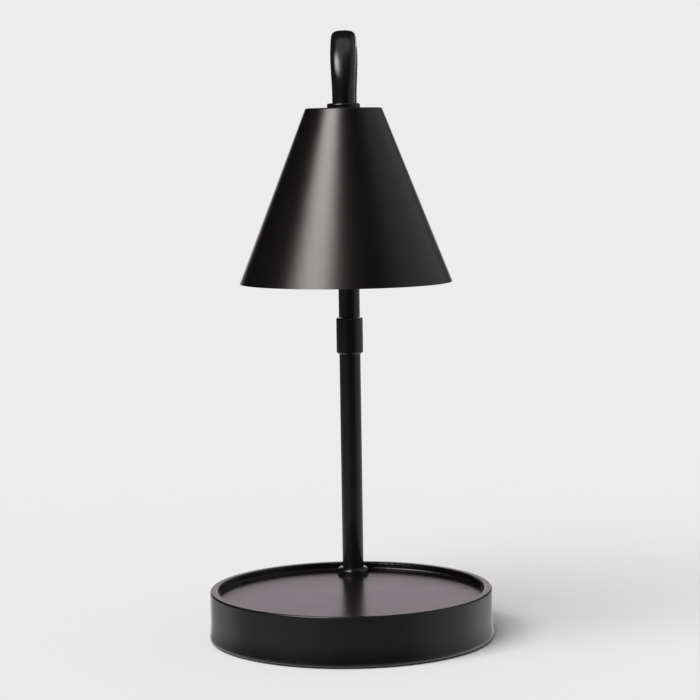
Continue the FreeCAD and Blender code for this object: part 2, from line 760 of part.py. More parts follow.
def holder_bracket():
    """The bent steel strip that hangs the lampholder under the shade nut."""
    span, width, strip = named("bracket_span"), named("bracket_width"), named("bracket_sheet")
    top = named("shade_top") - named("shade_sheet") - named("washer_depth")
    low, front = named("bracket_bottom"), named("shade_offset")
    height = top - low
    blank = block("bracket_blank", span, width, height, span / -2, front - width / 2, low)
    hollow = block(
        "bracket_hollow", span - strip * 2, width, height - strip, span / -2 + strip, front - width / 2, low
    )
    hole = cylinder("bracket_hole", named("nipple_radius"), low, top, 0, front)
    screw_hole = side_rod("bracket_screw_holes", named("pin_shank"), span, span / -2)
    return cut("holder_bracket", blank, [hollow, hole, screw_hole])


def side_rod(name, radius, length, start):
    """A cylinder along X at the height of the lampholder's screws."""
    rod = doc.addObject("Part::Cylinder", name)
    tie(rod, "Radius", radius)
    tie(rod, "Height", length)
    turn = Rotation(Vector(0, 1, 0), 90)
    return put(rod, start, named("shade_offset"), named("holder_screw_height"), turn)


def lampholder():
    """The ceramic lampholder, with keyholes that the lamp pins lock in and holes for the leads."""
    front, radius = named("shade_offset"), named("holder_radius")
    low, high = named("holder_bottom"), named("holder_top")
    flats = named("bracket_span") - named("bracket_sheet") * 2
    drum = cylinder("holder_drum", radius, low, high, 0, front)
    slab = block("holder_slab", flats, radius * 2, high - low, flats / -2, front - radius, low)
    blank = doc.addObject("Part::Common", "holder_blank")
    blank.Base = drum
    blank.Tool = slab
    plate_top = low + named("pin_plate")
    cavity_top = named("pin_top") + named("free_gap") + named("washer_depth")
    neck = named("pin_shank") + named("free_gap")
    room = named("pin_head") + named("free_gap")
    lead_hole, lead_floor = named("lead_radius") + named("lead_play"), high - named("lead_hole_depth")
    thread = named("holder_thread")
    tools = []
    for side in SIDES:
        tools.append(keyhole(f"holder_neck_{side + 1}", side, neck, low, plate_top))
        tools.append(keyhole(f"holder_room_{side + 1}", side, room, plate_top, cavity_top))
        x, y = pin_place(side, named("lock_turn"))
        tools.append(cylinder(f"holder_entry_{side + 1}", room, low, plate_top, x, y))
        lead_x = named("lead_spacing") / 2 * side
        tools.append(cylinder(f"holder_lead_{side + 1}", lead_hole, lead_floor, high, lead_x, front))
        start = flats / 2 - thread if side > 0 else flats / -2
        tools.append(side_rod(f"holder_thread_{side + 1}", named("pin_shank"), thread, start))
    return cut("lampholder", blank, tools)


def pin_place(side, turned_back):
    """Where a lamp pin stands, turned back from its locked place by some degrees."""
    turn = math.radians(now(turned_back))
    circle = named("pin_circle")
    return circle * (side * math.cos(turn)), named("shade_offset") + circle * (-side * math.sin(turn))


def keyhole(name, side, reach, low, high):
    """The slot that a pin sweeps as the bulb turns: a sector of a ring with round ends."""
    ends = []
    for index, turn in enumerate((Size("0", 0), named("lock_turn"))):
        x, y = pin_place(side, turn)
        ends.append(cylinder(f"{name}_end_{index}", reach, low, high, x, y))
    circle, front = named("pin_circle"), named("shade_offset")
    sector = cylinder(name + "_sector", circle + reach, low, high, 0, front)
    tie(sector, "Angle", named("lock_turn"))
    start = 180 - now(named("lock_turn")) if side < 0 else -now(named("lock_turn"))
    put(sector, 0, front, low, Rotation(Vector(0, 0, 1), start))
    core = cylinder(name + "_core", circle - reach, low, high, 0, front)
    return joined(name, [*ends, cut(name + "_sweep", sector, [core])])


def holder_screws():
    """The two screws that hold the lampholder between the legs of its bracket."""
    half = named("bracket_span") / 2
    depth, head_depth = named("bracket_sheet") + named("holder_screw_reach"), named("holder_screw_head")
    screws = []
    for side in SIDES:
        inner = half - depth if side > 0 else half * -1
        outer = half if side > 0 else half * -1 - head_depth
        shank = side_rod(f"holder_screw_shank_{side + 1}", named("pin_shank"), depth, inner)
        head = side_rod(f"holder_screw_head_{side + 1}", named("holder_screw_flange"), head_depth, outer)
        screws.append(joined(f"holder_screw_{side + 1}", [shank, head]))
    return group("holder_screws", screws)


def holder_contacts():
    """The two brass contacts above the locked pins."""
    low = named("pin_top") + named("free_gap")
    high = low + named("washer_depth")
    contacts = []
    for side in SIDES:
        x, y = pin_place(side, 0)
        contacts.append(cylinder(f"holder_contact_{side + 1}", named("pin_head"), low, high, x, y))
    return group("holder_contacts", contacts)


def bulb():
    """The twist-lock halogen bulb: reflector, front glass, ceramic base, pins and capsule."""
    front = named("shade_offset")
    face, radius, neck, glass = (named(w) for w in ("bulb_face", "bulb_radius", "bulb_neck", "bulb_glass"))
    top = named("holder_bottom") - named("free_gap")
    throat, curve, straight = named("bulb_throat"), named("bulb_curve"), face + named("bulb_rim")
    reflector = turned(
        "bulb_reflector",
        [
            (radius - glass, face),
            (radius, face),
            (radius, straight),
            (throat, neck, curve, LEFT),
            (throat - glass * 2, neck),
            (radius - glass, straight, curve, RIGHT),
        ],
        y=front,
    )
    sill = face + named("lens_inset")
    lens = cylinder(
        "bulb_lens", radius - glass - named("turn_fit"), sill, sill + named("lens_depth"), 0, front
    )
    foot, plug = throat + named("bulb_step"), named("bulb_plug")
    shoulder, waist = neck + named("bulb_foot"), top - named("bulb_plug_depth")
    base = turned(
        "bulb_base",
        [(0, neck), (foot, neck), (foot, shoulder), (plug, waist), (plug, top), (0, top)],
        y=front,
    )
    pins = []
    for side in SIDES:
        x, y = pin_place(side, 0)
        head_low = named("holder_bottom") + named("pin_plate") + named("free_gap")
        shank = cylinder(f"pin_shank_{side + 1}", named("pin_shank"), top, head_low, x, y)
        head = cylinder(f"pin_head_{side + 1}", named("pin_head"), head_low, named("pin_top"), x, y)
        pins.append(joined(f"bulb_pin_{side + 1}", [shank, head]))
    narrow, tip = named("capsule_radius"), neck - named("capsule_length")
    capsule = turned(
        "bulb_capsule",
        [(0, tip), (narrow, tip + narrow, narrow, LEFT), (narrow, neck), (0, neck)],
        y=front,
    )
    return [reflector, lens, base, group("bulb_pins", pins), capsule]


def base_leads():
    """The two leads from their splices, under the weight and up through the pole nipple."""
    top = now(named("pole_nipple_top") + named("lead_rise"))
    leads = []
    for side in SIDES:
        corner, mouth, _ = splice_route(side)
        start = Vector(corner.x, corner.y, top)
        leads.append(wire_run([start, corner, mouth], [now(named("lead_bend"))]))
    return feature("base_leads", Part.makeCompound(leads))


def splice_route(side):
    """A lead's corner under the pole, the mouth of its splice cap and its heading between them."""
    level = now(named("pad_depth") + named("cover_depth") + named("cap_radius"))
    corner = Vector(side * now(named("lead_spacing")) / 2, now(named("pole_offset")), level)
    splay = math.radians(now(named("splice_splay")))
    heading = Vector(side * math.sin(splay), -math.cos(splay), 0)
    return corner, corner + heading * now(named("splice_reach")), heading


def splice_caps():
    """The two crimped caps that the leads end in, lying on the bottom cover."""
    caps = []
    for side in SIDES:
        _, mouth, heading = splice_route(side)
        caps.append(Part.makeCylinder(now(named("cap_radius")), now(named("cap_length")), mouth, heading))
    return feature("splice_caps", Part.makeCompound(caps))


def lead_coil():
    """The spare length of the leads, curled in the lower tube so that the arm can rise."""
    low = named("pole_nipple_top") + named("lead_rise")
    return cylinder("lead_coil", named("coil_radius"), low, slide_bottom(), 0, named("pole_offset"))


def arm_leads():
    """The two leads from the slide tube, over the arch and down to the lampholder."""
    rear, front = now(named("pole_offset")), now(named("shade_offset"))
    bend = now(named("arch_bend"))
    crown = now(named("arch_spring")) + bend
    leads = []
    for side in SIDES:
        x = side * now(named("lead_spacing")) / 2
        route = [
            Vector(x, rear, now(slide_bottom())),
            Vector(x, rear, crown),
            Vector(x, front, crown),
            Vector(x, front, now(named("holder_top"))),
        ]
        leads.append(wire_run(route, [bend, bend]))
    return feature("arm_leads", Part.makeCompound(leads))


def main():
    """Build every piece, check it and write it to parts/."""
    shell = base_shell()
    nodes = [
        shell,
        cord_inlet_grommet(shell),
        base_weight(),
        base_cover(),
        cover_screws(),
        base_pad(),
        pole_foot_ring(),
        *pole_clamp(),
        lower_tube(),
        collar_bush(),
        lock_collar(),
        friction_collet(),
        slide_tube(),
        guide_ring(),
        arm_bush(),
        arm_tube(),
        *shade_fittings(),
        shade(),
        holder_bracket(),
        lampholder(),
        holder_screws(),
        holder_contacts(),
        *bulb(),
        base_leads(),
        splice_caps(),
        lead_coil(),
        arm_leads(),
    ]
    doc.recompute()
    for thing in doc.Objects:
        if "Invalid" in thing.State or "Error" in thing.State:
            raise RuntimeError(f"{thing.Name} failed: {thing.State}")
    os.makedirs("parts", exist_ok=True)
    for thing in nodes:
        shape = thing.Shape
        if shape.isNull() or not shape.isValid() or not shape.Solids:
            raise RuntimeError(f"{thing.Label} has no valid shape")
        shape.exportStep(os.path.join("parts", thing.Label + ".step"))
        print(f"{thing.Label}: {len(shape.Solids)} solid(s), {shape.Volume / 1000:.3f} cm3")


main()
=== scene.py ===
"""Looks of a candle warmer lamp: tray base, pole, sliding arched arm, cone shade and bulb."""

import logging
import math
from dataclasses import dataclass, field
from enum import Enum

import bmesh
import bpy
import numpy as np
from mathutils import Matrix, Vector


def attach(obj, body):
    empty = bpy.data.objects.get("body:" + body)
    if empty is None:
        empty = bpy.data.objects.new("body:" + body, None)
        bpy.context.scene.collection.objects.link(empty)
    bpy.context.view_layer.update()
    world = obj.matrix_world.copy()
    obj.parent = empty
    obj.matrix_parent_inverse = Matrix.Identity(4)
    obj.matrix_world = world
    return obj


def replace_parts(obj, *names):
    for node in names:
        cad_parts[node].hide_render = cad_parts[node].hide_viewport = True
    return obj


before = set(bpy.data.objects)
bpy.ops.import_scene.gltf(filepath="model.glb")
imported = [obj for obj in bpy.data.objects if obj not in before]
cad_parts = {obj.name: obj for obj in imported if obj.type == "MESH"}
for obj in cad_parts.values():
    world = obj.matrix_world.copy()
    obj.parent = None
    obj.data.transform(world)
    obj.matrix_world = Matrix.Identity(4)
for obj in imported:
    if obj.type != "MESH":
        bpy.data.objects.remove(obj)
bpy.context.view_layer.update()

log = logging.getLogger("candle_warmer_lamp")

Colour = tuple[float, float, float]
Point = tuple[float, float, float]
Point2 = tuple[float, float]
Outline = list[Point2]

IMAGE_PIXELS = 700
SENSOR_WIDTH = 36.0
MILLIMETRE = 0.001
WARM: Colour = (1.03, 1.0, 0.95)
ROSE: Colour = (1.11, 1.0, 1.07)
PAINT_BLACK: Colour = (0.0036, 0.003, 0.0032)
PAINT_MOTTLE: Colour = (0.0048, 0.0041, 0.0043)
PAINT_TINT: Colour = (1.0, 0.965, 0.97)
ZERO: Point = (0.0, 0.0, 0.0)
WELD_DISTANCE = 0.0005


class Body(Enum):
    """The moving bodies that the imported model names."""

    BASE = "base"
    COLLAR = "collar"
    COLLET = "collet"
    ARM = "arm"
    BULB = "bulb"


class Slot(Enum):
    """The material slots that the finishes belong to."""

    SATIN_BLACK = "satin_black"
    COVER_BLACK = "cover_black"
    IRON = "iron"
    ZINC = "zinc_steel"
    PAD = "foam_pad"
    GROMMET = "grommet_black"
    BRASS = "brass"
    NYLON = "nylon"
    PORCELAIN = "porcelain"
    MIRROR = "mirror_glass"
    GLASS = "clear_glass"
    LEAD = "lead_insulation"
    SPLICE = "splice_plastic"


def placed(name: str, data: bpy.types.ID) -> bpy.types.Object:
    """Put an object in the scene.

    Args:
        name: The object's name.
        data: Its mesh, curve, light or camera.

    Returns:
        The object, at the origin.
    """
    shown = bpy.data.objects.new(name, data)
    bpy.context.scene.collection.objects.link(shown)
    return shown


class NodeTree:
    """A short way to add and join nodes in a shader or geometry tree."""

    def __init__(self, tree: bpy.types.NodeTree) -> None:
        """Keep the tree that the nodes go in.

        Args:
            tree: The node tree to fill.
        """
        self.tree = tree

    def add(self, kind: str, **settings: object) -> bpy.types.Node:
        """Add a node.

        Args:
            kind: Blender's name for the type of node.
            settings: Properties of the node, by name.

        Returns:
            The new node.
        """
        node = self.tree.nodes.new(kind)
        for name, value in settings.items():
            setattr(node, name, value)
        return node

    def join(self, start: bpy.types.NodeSocket, end: bpy.types.NodeSocket) -> None:
        """Join an output socket to an input socket."""
        self.tree.links.new(start, end)

    def maths(self, operation: str, first: object, second: object) -> bpy.types.NodeSocket:
        """Add a sum on two numbers.

        Args:
            operation: Blender's name for the operation.
            first: A socket or a number.
            second: A socket or a number.

        Returns:
            The socket of the result.
        """
        node = self.add("ShaderNodeMath", operation=operation)
        for value, socket in zip((first, second), node.inputs):
            if isinstance(value, bpy.types.NodeSocket):
                self.join(value, socket)
            else:
                socket.default_value = value
        return node.outputs["Value"]


class Pattern(NodeTree):
    """A geometry tree with named inputs, which repeats a shape or follows a path."""

    def __init__(self, name: str, inputs: dict[str, str]) -> None:
        """Make the tree and its sockets.

        Args:
            name: The tree's name.
            inputs: The kind of socket for each named input.
        """
        super().__init__(bpy.data.node_groups.new(name, "GeometryNodeTree"))
        face = self.tree.interface
        face.new_socket("Geometry", in_out="OUTPUT", socket_type="NodeSocketGeometry")
        kinds = {"Shape": "NodeSocketGeometry", **inputs, "Finish": "NodeSocketMaterial"}
        self.sockets = {
            given: face.new_socket(given, in_out="INPUT", socket_type=kind).identifier
            for given, kind in kinds.items()
        }
        self.given = self.add("NodeGroupInput").outputs
        self.result = self.add("NodeGroupOutput")

    def close(self, shape: bpy.types.NodeSocket) -> None:
        """Realize the instances, set the finish and end the tree.

        Args:
            shape: The geometry that the tree has made.
        """
        real = self.add("GeometryNodeRealizeInstances")
        finish = self.add("GeometryNodeSetMaterial")
        self.join(shape, real.inputs["Geometry"])
        self.join(real.outputs["Geometry"], finish.inputs["Geometry"])
        self.join(self.given["Finish"], finish.inputs["Material"])
        self.join(finish.outputs["Geometry"], self.result.inputs["Geometry"])


@dataclass(frozen=True)
class Finish:
    """A surface finish: its shader constants and the fine detail that breaks them up."""

    name: str
    slot: Slot
    colour: Colour
    second_colour: Colour
    roughness: float
    roughness_spread: float = 0.05
    metallic: float = 0.0
    specular: float = 0.5
    specular_tint: Colour = (1.0, 1.0, 1.0)
    mottle_scale: float = 40.0
    mottle_detail: float = 4.0
    mottle_span: tuple[float, float] = (0.35, 0.7)
    ripple_height: float = 0.000005
    grain_scale: float = 900.0
    grain_detail: float = 2.0
    grain_height: float = 0.00001
    grain_strength: float = 0.1

    def material(self) -> bpy.types.Material:
        """Build the material.

        Returns:
            A material with two mottled colours, uneven gloss, a slow ripple and a fine grain.
        """
        made = bpy.data.materials.new(self.name)
        made.use_nodes = True
        nodes = NodeTree(made.node_tree)
        shader = made.node_tree.nodes["Principled BSDF"]
        shader.inputs["Metallic"].default_value = self.metallic
        shader.inputs["Specular IOR Level"].default_value = self.specular
        shader.inputs["Specular Tint"].default_value = (*self.specular_tint, 1.0)
        place = nodes.add("ShaderNodeTexCoord")
        mottle = self.noise(nodes, place, self.mottle_scale, self.mottle_detail)
        self.colours(nodes, mottle, shader)
        gloss = nodes.add("ShaderNodeMapRange")
        gloss.inputs["To Min"].default_value = self.roughness - self.roughness_spread
        gloss.inputs["To Max"].default_value = self.roughness + self.roughness_spread
        nodes.join(mottle.outputs["Fac"], gloss.inputs["Value"])
        nodes.join(gloss.outputs["Result"], shader.inputs["Roughness"])
        grain = self.noise(nodes, place, self.grain_scale, self.grain_detail)
        ripple = nodes.add("ShaderNodeBump")
        ripple.inputs["Strength"].default_value = 1.0
        ripple.inputs["Distance"].default_value = self.ripple_height
        nodes.join(mottle.outputs["Fac"], ripple.inputs["Height"])
        bump = nodes.add("ShaderNodeBump")
        nodes.join(ripple.outputs["Normal"], bump.inputs["Normal"])
        bump.inputs["Strength"].default_value = self.grain_strength
        bump.inputs["Distance"].default_value = self.grain_height
        nodes.join(grain.outputs["Fac"], bump.inputs["Height"])
        nodes.join(bump.outputs["Normal"], shader.inputs["Normal"])
        self.finish(nodes, shader)
        return made

    @staticmethod
    def noise(
        nodes: NodeTree, place: bpy.types.Node, size: float, detail: float
    ) -> bpy.types.Node:
        """Add a noise texture on the object's coordinates.

        Args:
            nodes: The tree to add it to.
            place: The texture coordinate node that it reads.
            size: How many features there are to a metre.
            detail: How many finer octaves it has.

        Returns:
            The noise node.
        """
        made = nodes.add("ShaderNodeTexNoise")
        made.inputs["Scale"].default_value = size
        made.inputs["Detail"].default_value = detail
        nodes.join(place.outputs["Object"], made.inputs["Vector"])
        return made

    def colours(self, nodes: NodeTree, mottle: bpy.types.Node, shader: bpy.types.Node) -> None:
        """Mix the two colours by the mottling.

        Args:
            nodes: The tree to add to.
            mottle: The noise that mixes the colours.
            shader: The shader that takes the mixed colour.
        """
        ramp = nodes.add("ShaderNodeValToRGB")
        tones = zip(ramp.color_ramp.elements, self.mottle_span, (self.colour, self.second_colour))
        for element, position, colour in tones:
            element.position = position
            element.color = (*colour, 1.0)
        nodes.join(mottle.outputs["Fac"], ramp.inputs["Fac"])
        nodes.join(ramp.outputs["Color"], shader.inputs["Base Color"])

    def finish(self, nodes: NodeTree, shader: bpy.types.Node) -> None:
        """Set what one kind of finish has beyond the others; a plain finish has nothing."""


@dataclass(frozen=True)
class ClearGlass(Finish):
    """Clear glass that light passes through."""

    bending: float = 1.48

    def finish(self, nodes: NodeTree, shader: bpy.types.Node) -> None:
        """Let light through the shader.

        Args:
            nodes: The tree, which stays as it is.
            shader: The shader to change.
        """
        shader.inputs["Transmission Weight"].default_value = 1.0
        shader.inputs["IOR"].default_value = self.bending


class Look(Enum):
    """The finishes of the lamp's pieces."""

    PAINT = Finish(
        name="satin_black_paint",
        slot=Slot.SATIN_BLACK,
        colour=PAINT_BLACK,
        second_colour=PAINT_MOTTLE,
        roughness=0.29,
        roughness_spread=0.02,
        specular=0.66,
        specular_tint=PAINT_TINT,
        mottle_scale=105.0,
        ripple_height=0.00006,
        grain_scale=700.0,
        grain_strength=0.25,
    )
    TRAY_PAINT = Finish(
        name="satin_black_tray_paint",
        slot=Slot.SATIN_BLACK,
        colour=PAINT_BLACK,
        second_colour=PAINT_MOTTLE,
        roughness=0.265,
        roughness_spread=0.015,
        specular=0.64,
        specular_tint=PAINT_TINT,
        mottle_scale=105.0,
        ripple_height=0.00002,
        grain_scale=700.0,
        grain_strength=0.2,
    )
    TUBE_PAINT = Finish(
        name="smooth_black_paint",
        slot=Slot.SATIN_BLACK,
        colour=(0.0074, 0.0068, 0.0076),
        second_colour=(0.009, 0.0083, 0.0092),
        roughness=0.215,
        roughness_spread=0.015,
        specular=0.62,
        grain_scale=500.0,
        grain_strength=0.06,
    )
    COVER = Finish(
        name="matt_black_cover",
        slot=Slot.COVER_BLACK,
        colour=(0.018, 0.018, 0.018),
        second_colour=(0.026, 0.026, 0.026),
        roughness=0.6,
        grain_strength=0.3,
    )
    IRON = Finish(
        name="raw_cast_iron",
        slot=Slot.IRON,
        colour=(0.08, 0.076, 0.072),
        second_colour=(0.15, 0.14, 0.13),
        roughness=0.62,
        metallic=0.8,
        grain_height=0.0002,
        grain_strength=0.6,
    )
    ZINC = Finish(
        name="bright_zinc",
        slot=Slot.ZINC,
        colour=(0.5, 0.51, 0.53),
        second_colour=(0.62, 0.62, 0.63),
        roughness=0.3,
        metallic=1.0,
    )
    PAD = Finish(
        name="foam_pad",
        slot=Slot.PAD,
        colour=(0.028, 0.028, 0.03),
        second_colour=(0.055, 0.055, 0.058),
        roughness=0.85,
        specular=0.3,
        mottle_scale=260.0,
        grain_scale=1300.0,
        grain_height=0.0004,
        grain_strength=1.0,
    )
    GROMMET = Finish(
        name="black_grommet",
        slot=Slot.GROMMET,
        colour=(0.014, 0.014, 0.014),
        second_colour=(0.02, 0.02, 0.02),
        roughness=0.55,
    )
    BRASS = Finish(
        name="turned_brass",
        slot=Slot.BRASS,
        colour=(0.66, 0.47, 0.2),
        second_colour=(0.76, 0.58, 0.28),
        roughness=0.28,
        metallic=1.0,
    )
    NYLON = Finish(
        name="natural_nylon",
        slot=Slot.NYLON,
        colour=(0.74, 0.73, 0.68),
        second_colour=(0.8, 0.79, 0.75),
        roughness=0.45,
    )
    PORCELAIN = Finish(
        name="unglazed_porcelain",
        slot=Slot.PORCELAIN,
        colour=(0.8, 0.78, 0.72),
        second_colour=(0.86, 0.84, 0.79),
        roughness=0.7,
        grain_height=0.0001,
        grain_strength=0.3,
    )
    MIRROR = Finish(
        name="mirror_coat",
        slot=Slot.MIRROR,
        colour=(0.78, 0.78, 0.8),
        second_colour=(0.84, 0.84, 0.86),
        roughness=0.12,
        metallic=1.0,
    )
    GLASS = ClearGlass(
        name="clear_bulb_glass",
        slot=Slot.GLASS,
        colour=(0.95, 0.96, 0.96),
        second_colour=(0.97, 0.98, 0.98),
        roughness=0.04,
        roughness_spread=0.01,
    )
    LEAD = Finish(
        name="lead_insulation",
        slot=Slot.LEAD,
        colour=(0.03, 0.03, 0.03),
        second_colour=(0.045, 0.045, 0.045),
        roughness=0.5,
    )
    SPLICE = Finish(
        name="splice_nylon",
        slot=Slot.SPLICE,
        colour=(0.6, 0.58, 0.5),
        second_colour=(0.7, 0.68, 0.6),
        roughness=0.4,
    )


class Workshop:
    """Holds the materials and turns finished shapes into pieces of the lamp."""

    def __init__(self) -> None:
        """Make one material for each finish."""
        self.materials = {look: look.value.material() for look in Look}

    def dress(self, looks: dict[str, Look]) -> None:
        """Give CAD nodes their materials.

        Args:
            looks: The finish of each CAD node that keeps its shape, by the node's name.
        """
        for node, look in looks.items():
            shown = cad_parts[node]
            shown.material_slots[0].material = self.materials[look]
            log.info("%s keeps its CAD shape in %s", node, look.value.name)

    def piece(self, name: str, mesh: bpy.types.Mesh, body: Body, look: Look) -> bpy.types.Object:
        """Make a finished mesh a piece of the lamp.

        Args:
            name: The piece's name.
            mesh: Its mesh, in metres and in its place.
            body: The body that it moves with.
            look: Its finish.

        Returns:
            The piece's object.
        """
        mesh.materials.clear()
        mesh.materials.append(self.materials[look])
        shown = placed(name, mesh)
        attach(shown, body.value)
        log.info("%s made with %d faces in %s", name, len(mesh.polygons), look.value.name)
        return shown

    def grow(
        self, pattern: Pattern, values: dict[str, object], look: Look, start: bpy.types.Mesh
    ) -> bpy.types.Mesh:
        """Run a geometry tree and keep its result as a plain mesh.

        Args:
            pattern: The tree.
            values: A value for each of its named inputs.
            look: The finish that the tree sets.
            start: The shape that the tree starts from.

        Returns:
            The mesh that the tree makes.
        """
        carrier = placed("carrier", start)
        step = carrier.modifiers.new("pattern", "NODES")
        step.node_group = pattern.tree
        for name, value in values.items():
            step[pattern.sockets[name]] = value
        step[pattern.sockets["Finish"]] = self.materials[look]
        bpy.context.view_layer.update()
        ready = carrier.evaluated_get(bpy.context.evaluated_depsgraph_get())
        made = bpy.data.meshes.new_from_object(ready)
        carrier.modifiers.remove(step)
        bpy.data.objects.remove(carrier)
        return made


class Lathe:
    """Turns outlines into round shapes."""

    @staticmethod
    def turn(name: str, outline: Outline, middle: Point, segments: int) -> bpy.types.Mesh:
        """Turn a closed outline round an upright axis.

        Args:
            name: The mesh's name.
            outline: Radius and height of each corner in mm, closed by a line from last to first.
            middle: The place of the axis in mm.
            segments: How many faces go round it.

        Returns:
            The closed mesh, in metres.
        """
        made = bmesh.new()
        x, y, z = middle
        corners = [made.verts.new((x + radius, y, z + height)) for radius, height in outline]
        edges = [made.edges.new(pair) for pair in zip(corners, corners[1:] + corners[:1])]
        bmesh.ops.spin(
            made,
            geom=corners + edges,
            cent=middle,
            axis=(0.0, 0.0, 1.0),
            angle=math.tau,
            steps=segments,
            use_merge=True,
        )
        return Lathe.finished(name, made)

    @staticmethod
    def finished(name: str, made: bmesh.types.BMesh, sharp: float = 35.0) -> bpy.types.Mesh:
        """Close, scale and shade a mesh that was made in millimetres.

        Args:
            name: The mesh's name.
            made: The mesh to finish, which is freed.
            sharp: The angle in degrees from which an edge stays sharp.

        Returns:
            The mesh, in metres, with its faces outwards.
        """
        bmesh.ops.remove_doubles(made, verts=made.verts, dist=WELD_DISTANCE)
        loose = [edge for edge in made.edges if not edge.link_faces]
        bmesh.ops.delete(made, geom=loose, context="EDGES")
        bmesh.ops.dissolve_degenerate(made, edges=made.edges, dist=WELD_DISTANCE)
        bmesh.ops.recalc_face_normals(made, faces=made.faces)
        bmesh.ops.scale(made, vec=(MILLIMETRE,) * 3, verts=made.verts)
        mesh = bpy.data.meshes.new(name)
        made.to_mesh(mesh)
        made.free()
        mesh.shade_smooth()
        mesh.set_sharp_from_angle(angle=math.radians(sharp))
        return mesh

    @staticmethod
    def arc(start: Point2, end: Point2, radius: float, count: int) -> Outline:
        """Find points on an arc that bulges away from the axis.

        Args:
            start: Radius and height of the arc's lower end.
            end: Radius and height of its upper end.
            radius: The arc's radius.
            count: How many spans it is divided in.

        Returns:
            The points from start to end.
        """
        first, last = np.array(start), np.array(end)
        chord = last - first
        inward = np.array((-chord[1], chord[0])) / np.linalg.norm(chord)
        drop = math.sqrt(radius**2 - np.dot(chord, chord) / 4.0)
        centre = (first + last) / 2.0 + inward * drop
        low, high = (math.atan2(*(point - centre)[::-1]) for point in (first, last))
        turns = np.linspace(low, high, count + 1)
        ways = (np.array((math.cos(turn), math.sin(turn))) for turn in turns)
        return [tuple(centre + radius * way) for way in ways]


